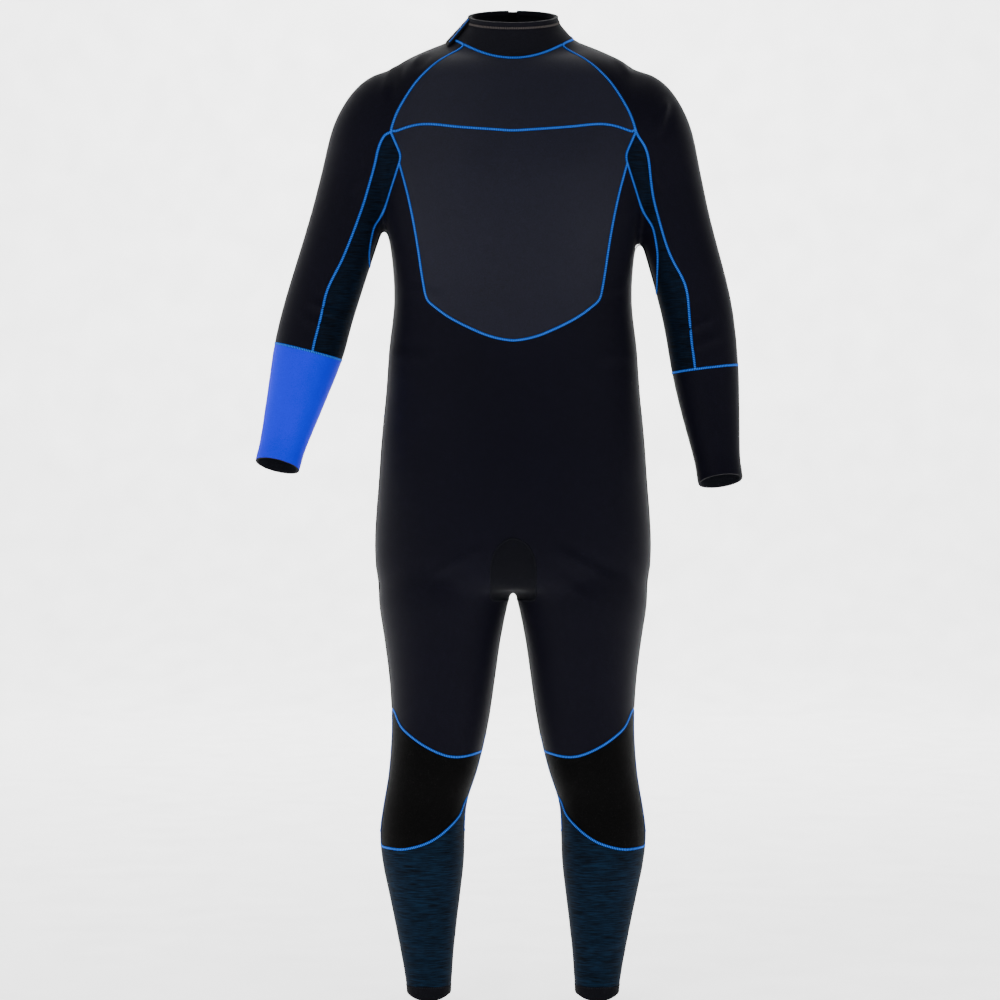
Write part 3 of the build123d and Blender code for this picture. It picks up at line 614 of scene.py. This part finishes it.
def place(name, mesh, *mats):
    mesh.transform(Matrix.Translation(SHIFT))
    obj = bpy.data.objects.new(name, mesh)
    bpy.context.scene.collection.objects.link(obj)
    for mat in mats:
        mesh.materials.append(MAT[mat])
    return obj


# ---------------------------------------------------------------- seams
DARK_PAIRS = [{"front_body", "right_back_panel"}, {"front_body", "left_back_panel"},
              {"right_back_panel", "left_back_panel"}]
LIMBS = {"raglan_sleeve": "arm", "underarm_panel": "arm", "forearm": "arm", "wrist_hem": "arm",
         "knee_pad": "leg", "knee_back": "leg", "shin": "leg", "ankle_hem": "leg"}


def zone_of(first, second):
    """The limb that a seam rides with, or the trunk."""
    for label in (first, second):
        for part, limb in LIMBS.items():
            if label.endswith(part):
                return label.split("_")[0] + "_" + limb
    for label in (first, second):
        if "thigh" in label:
            return label.split("_")[0] + "_leg"
    return "trunk"


def seam_style(first, second):
    """Blue thread, dark thread, or no seam at all."""
    pair = {first, second}
    if pair in NO_SEAM:
        return None
    thighs = all("thigh" in n or n in ("seat_panel", "front_body") for n in pair)
    if pair in DARK_PAIRS or "crotch_gusset" in pair or thighs or any("hem" in n for n in pair):
        return "dark"
    return "blue"


def seam_chains(bm, layer):
    """Every seam as lists of points and normals, by style and zone."""
    nets = {}
    for e in bm.edges:
        if len(e.link_faces) != 2:
            continue
        first, second = (LABELS[f[layer]] for f in e.link_faces)
        if first == second:
            continue
        style = seam_style(first, second)
        if style:
            net = nets.setdefault((style, zone_of(first, second)), {})
            a, b = e.verts
            net.setdefault(a, []).append(b)
            net.setdefault(b, []).append(a)
    out = []
    for key, net in nets.items():
        used = set()
        starts = [v for v in net if len(net[v]) != 2] + list(net)
        for start in starts:
            for nxt in net[start]:
                if frozenset((start, nxt)) in used:
                    continue
                chain = [start, nxt]
                used.add(frozenset((start, nxt)))
                while len(net[chain[-1]]) == 2:
                    ahead = [v for v in net[chain[-1]] if frozenset((chain[-1], v)) not in used]
                    if not ahead:
                        break
                    used.add(frozenset((chain[-1], ahead[0])))
                    chain.append(ahead[0])
                out.append((key, [v.co.copy() for v in chain], [v.normal.copy() for v in chain]))
    return out


def even_line(points, normals, pitch):
    """A chain respaced evenly and smoothed, with its normals."""
    p, n = np.array(points), np.array(normals)
    closed = np.linalg.norm(p[0] - p[-1]) < 1e-6
    for _ in range(6):
        q, m = p.copy(), n.copy()
        q[1:-1] = .5 * p[1:-1] + .25 * (p[:-2] + p[2:])
        m[1:-1] = .5 * n[1:-1] + .25 * (n[:-2] + n[2:])
        if closed:
            q[0] = q[-1] = .5 * p[0] + .25 * (p[1] + p[-2])
            m[0] = m[-1] = .5 * n[0] + .25 * (n[1] + n[-2])
        p, n = q, m
    gap = np.linalg.norm(np.diff(p, axis=0), axis=1)
    at = np.concatenate([[0], np.cumsum(gap)])
    count = max(int(at[-1] / pitch), 3)
    where = np.linspace(0, at[-1], count + 1)
    p = np.stack([np.interp(where, at, p[:, k]) for k in range(3)], 1)
    n = np.stack([np.interp(where, at, n[:, k]) for k in range(3)], 1)
    n /= np.linalg.norm(n, axis=1)[:, None]
    t = np.gradient(p, axis=0)
    if closed:
        t[0] = t[-1] = p[1] - p[-2]
    t /= np.maximum(np.linalg.norm(t, axis=1)[:, None], 1e-9)
    s = np.cross(t, n)
    s /= np.maximum(np.linalg.norm(s, axis=1)[:, None], 1e-9)
    return p, n, t, s


# Sections across a seam, as shares of its width and heights: its bed, and one stitch
BED = [(-.55, -.0006), (-.5, .0003), (-.36, .0007), (-.18, .0004), (0, .0003), (.18, .0004),
       (.36, .0007), (.5, .0003), (.55, -.0006)]
RUNG = [(-.50, .0001), (-.40, .0010), (-.15, .0011), (.15, .0011), (.40, .0010), (.50, .0001)]
# A stitch's own thread: distance along the seam, and depth below its top
YARN = [(-.0008, .0006), (-.0003, 0), (.0003, 0), (.0008, .0006)]


def add_seam(points, normals, wide, verts, polys, slots):
    """A flatlock seam: a low bed, and a ladder of stitches across it."""
    p, n, t, s = even_line(points, normals, STITCH_PITCH)
    base = len(verts)
    for i in range(len(p)):
        verts += [tuple(p[i] + s[i] * u * wide + n[i] * h) for u, h in BED]
    m = len(BED)
    for i in range(len(p) - 1):
        for k in range(m - 1):
            a = base + i * m + k
            polys.append((a, a + 1, a + m + 1, a + m))
            slots.append(0)
    for i in range(len(p) - 1):
        centre, normal = (p[i] + p[i + 1]) / 2, (n[i] + n[i + 1]) / 2
        slant = t[i] * .0004
        at = len(verts)
        for u, h in RUNG:
            middle = centre + s[i] * u * wide + slant * u
            verts += [tuple(middle + t[i] * along + normal * (h - down)) for along, down in YARN]
        for k in range(len(RUNG) - 1):
            for r in range(len(YARN) - 1):
                a = at + k * len(YARN) + r
                polys.append((a, a + 1, a + len(YARN) + 1, a + len(YARN)))
                slots.append(1)


def build_seams(chains):
    made = {}
    for (style, zone), points, normals in chains:
        if len(points) < 4:
            continue
        data = made.setdefault((style, zone), ([], [], []))
        add_seam(points, normals, SEAM_WIDE if style == "blue" else SEAM_WIDE * DARK_SHARE, *data)
    objs = {}
    for (style, zone), (verts, polys, slots) in made.items():
        mesh = bpy.data.meshes.new(f"{zone}_{style}_stitching")
        mesh.from_pydata(verts, [], polys)
        mesh.polygons.foreach_set("material_index", slots)
        mesh.polygons.foreach_set("use_smooth", [True] * len(polys))
        pair = ("seam_base", "seam_thread") if style == "blue" else ("black", "dark_thread")
        objs[(style, zone)] = place(mesh.name, mesh, *pair)
    return objs


# ---------------------------------------------------------------- the suit, panel by panel
# The outer material of each panel that is the same on both sides of the suit
COVER = {
    "front_body": "jersey", "collar": "collar", "chest_yoke": "chest", "chest_panel": "chest",
    "crotch_gusset": "black", "seat_panel": "jersey", "raglan_sleeve": "jersey",
    "underarm_panel": "sleeve_heather", "back_panel": "jersey", "thigh_front": "jersey",
    "thigh_back": "jersey", "knee_pad": "knee", "knee_back": "heather", "shin": "heather",
    "ankle_hem": "black",
}


def hold(obj, zone):
    """Ties a piece to the trunk, or, on an arm or a leg, bakes its placing into its mesh."""
    name, _, limb = zone.partition("_")
    if limb == "arm":
        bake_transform(obj)
    elif limb == "leg":
        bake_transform(obj)
    else:
        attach(obj, "suit")


def nodes_of(label):
    """The CAD nodes that a panel stands for."""
    name, _, part = label.partition("_")
    if part == "raglan_sleeve":
        return [label, f"{name}_elbow_outer"]
    if part == "underarm_panel":
        return [label, f"{name}_elbow_inner"]
    if part == "forearm":
        return ["right_blue_forearm" if name == "right" else "left_forearm"]
    return [label]


def cover_of(label):
    """The outer material of a panel: the wearer's right forearm is blue, the left is not."""
    name, _, part = label.partition("_")
    if part in ("forearm", "wrist_hem"):
        return "blue" if name == "right" else "jersey"
    return COVER.get(label) or COVER[part]


skin = make_skin()
shape_skin(skin)
bm = bmesh.new()
bm.from_mesh(skin)
crotch = [v for v in bm.verts if abs(v.co.x) < CROTCH_HALF and CROTCH[0] < v.co.z < CROTCH[1]]
for _ in range(30):
    bmesh.ops.smooth_vert(bm, verts=crotch, factor=.5, use_axis_x=True, use_axis_y=True, use_axis_z=True)
panel = split_panels(bm)
groups = {label: [] for label in LABELS}
for face in bm.faces:
    groups[LABELS[face[panel]]].append(face)
for label, faces in groups.items():
    mesh = panel_mesh(faces, f"{label}_skin", panel)
    piece = place(f"{label}_skin", mesh, cover_of(label), "lining", "black")
    if label.endswith("wrist_hem"):
        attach(piece, f"{label.split('_')[0]}_forearm_body")
    elif label.endswith("ankle_hem"):
        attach(piece, f"{label.split('_')[0]}_shin_body")
    else:
        hold(piece, zone_of(label, label))
    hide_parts(*nodes_of(label))
for (style, zone), piece in build_seams(seam_chains(bm, panel)).items():
    hold(piece, zone)
bm.free()


# ---------------------------------------------------------------- the collar's flap and stitches
# The collar's ovals at its foot and its rim: half width, half depth, tilt in degrees
COLLAR_FOOT = (.096, .082, 21)
COLLAR_RIM = (.066, .066, 17.5)

# The flap closes over the gap at the back and sticks down on the wearer's right
FLAP_ROWS, FLAP_STEPS = 12, 60
FLAP_PROUD = .0050         # from the collar to the flap's outer face
FLAP_THICK = .0028
FLAP_END = 193             # degrees, at the stitches along the flap's free end


def collar_point(share, proud, angle):
    """A point proud of the collar, at a share of its height and an angle from the wearer's left."""
    foot_wide, foot_deep, foot_tilt = COLLAR_FOOT
    rim_wide, rim_deep, rim_tilt = COLLAR_RIM
    low, high, turn = math.radians(foot_tilt), math.radians(rim_tilt), math.radians(angle)
    back = (1 - share) * foot_deep * math.cos(low) + share * rim_deep * math.cos(high)
    rise = (1 - share) * foot_deep * math.sin(low) + share * rim_deep * math.sin(high)
    deep, lean = math.hypot(back, rise) + proud, math.atan2(rise, back)
    wide = (1 - share) * foot_wide + share * rim_wide + proud
    y = -.002 - .012 * share + deep * math.cos(lean) * math.sin(turn)
    z = 1.412 + .031 * share + deep * math.sin(lean) * math.sin(turn)
    return Vector((wide * math.cos(turn), y, z))


def make_flap():
    """The flap's outer face as a grid round the collar, with its thickness and soft edges added."""
    shares = [.03 + 1.16 * i / FLAP_ROWS for i in range(FLAP_ROWS + 1)]
    angles = [62 + 134 * i / FLAP_STEPS for i in range(FLAP_STEPS + 1)]
    points = [collar_point(share, FLAP_PROUD, angle) for angle in angles for share in shares]
    line = len(shares)
    corners = [line * i + k for i in range(FLAP_STEPS) for k in range(FLAP_ROWS)]
    mesh = bpy.data.meshes.new("collar_flap_skin")
    mesh.from_pydata(points, [], [(c, c + line, c + line + 1, c + 1) for c in corners])
    mesh.polygons.foreach_set("use_smooth", [True] * len(mesh.polygons))
    obj = place("collar_flap_skin", mesh, "collar")
    shell = obj.modifiers.new("thickness", "SOLIDIFY")
    shell.thickness = FLAP_THICK
    shell.offset = -1
    edge = obj.modifiers.new("soft_edge", "BEVEL")
    edge.width = .0009
    edge.segments = 3
    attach(obj, "flap")
    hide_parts("collar_flap")


def ribbon(name, points, ways, body, mats):
    """A row of stitches of its own, along a line on the collar."""
    data = ([], [], [])
    add_seam(points, ways, SEAM_WIDE, *data)
    mesh = bpy.data.meshes.new(name)
    mesh.from_pydata(data[0], [], data[1])
    mesh.polygons.foreach_set("material_index", data[2])
    obj = place(name, mesh, *mats)
    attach(obj, body)


def outward(angle):
    return Vector((math.cos(math.radians(angle)), math.sin(math.radians(angle)), .2)).normalized()


make_flap()
end_line = [collar_point(.18 + .98 * i / 20, .0051, FLAP_END) for i in range(21)]
rim_angles = range(200, 419, 3)
rim_line = [collar_point(.97, .0012, angle) for angle in rim_angles]
ribbon("flap_stitching", end_line, [outward(FLAP_END)] * len(end_line), "flap",
       ("seam_base", "seam_thread"))
ribbon("rim_stitching", rim_line, [outward(angle) for angle in rim_angles], "suit",
       ("collar", "rim_thread"))

# Moulded and woven fittings keep their CAD shapes and take finished materials
KEPT = {
    "right_zip_tape": "zip_tape", "left_zip_tape": "zip_tape", "right_zip_teeth": "zip",
    "left_zip_teeth": "zip", "zip_bottom_stop": "zip", "zip_top_stop": "zip", "zip_slider": "pull",
    "zip_pull_tab": "pull", "zip_inner_flap": "lining", "collar_binding": "collar",
    "flap_hook_patch": "loop", "collar_loop_patch": "loop",
}
for name, mat in KEPT.items():
    for held in bpy.data.objects[name].material_slots:
        held.material = MAT[mat]


# ---------------------------------------------------------------- studio
def sweep():
    """A pale floor that turns up into a backdrop."""
    foot, bend = 5.2, 1.2
    rows = [(-9.0, 0.0), (foot, 0.0)]
    for angle in range(10, 91, 10):
        turn = math.radians(angle)
        rows.append((foot + bend * math.sin(turn), bend - bend * math.cos(turn)))
    rows.append((foot + bend, 9.0))
    points = [(x, y, z - .006) for y, z in rows for x in (-10, 10)]
    mesh = bpy.data.meshes.new("studio_sweep")
    mesh.from_pydata(points, [], [(2 * i, 2 * i + 1, 2 * i + 3, 2 * i + 2) for i in range(len(rows) - 1)])
    mesh.polygons.foreach_set("use_smooth", [True] * len(mesh.polygons))
    return place("studio_sweep", mesh, "paper")


def lamp(name, at, size, power, aim=(0, 0, .8)):
    """A round soft light, turned towards a point."""
    light = bpy.data.lights.new(name, "AREA")
    light.shape = "DISK"
    light.size = size
    light.energy = power
    obj = bpy.data.objects.new(name, light)
    obj.location = Vector(at) + SHIFT
    obj.rotation_euler = (Vector(aim) - Vector(at)).to_track_quat("-Z", "Y").to_euler()
    bpy.context.scene.collection.objects.link(obj)


MAT["paper"] = material("studio_paper", (.93, .93, .93), .9, speck=.01, scale=60, bump=.02)
glow = MAT["paper"].node_tree.nodes["Principled BSDF"].inputs
glow["Emission Color"].default_value = (1, 1, 1, 1)
glow["Emission Strength"].default_value = 1.6
sweep()
lamp("key", (-2.4, -3.4, 3.0), 1.8, 70)
lamp("fill", (2.8, -3.2, 1.8), 2.2, 36)
lamp("top", (0, .6, 4.2), 2.4, 55)
lamp("side", (-3.2, .6, 1.4), 1.6, 30)
lamp("paper_light", (0, 3.4, 4.4), 3.0, 320, aim=(0, 6.4, 1.2))
world = bpy.data.worlds.new("studio")
world.use_nodes = True
sky = world.node_tree.nodes["Background"].inputs
sky["Color"].default_value = (1, 1, 1, 1)
sky["Strength"].default_value = .5
bpy.context.scene.world = world

camera = bpy.data.cameras.new("camera")
camera.lens = 100
camera.sensor_width = 36
view = bpy.data.objects.new("camera", camera)
view.location = Vector((-.0192, -4.11, .737)) + SHIFT
view.rotation_euler = (math.radians(90), 0, 0)
bpy.context.scene.collection.objects.link(view)
bpy.context.scene.camera = view
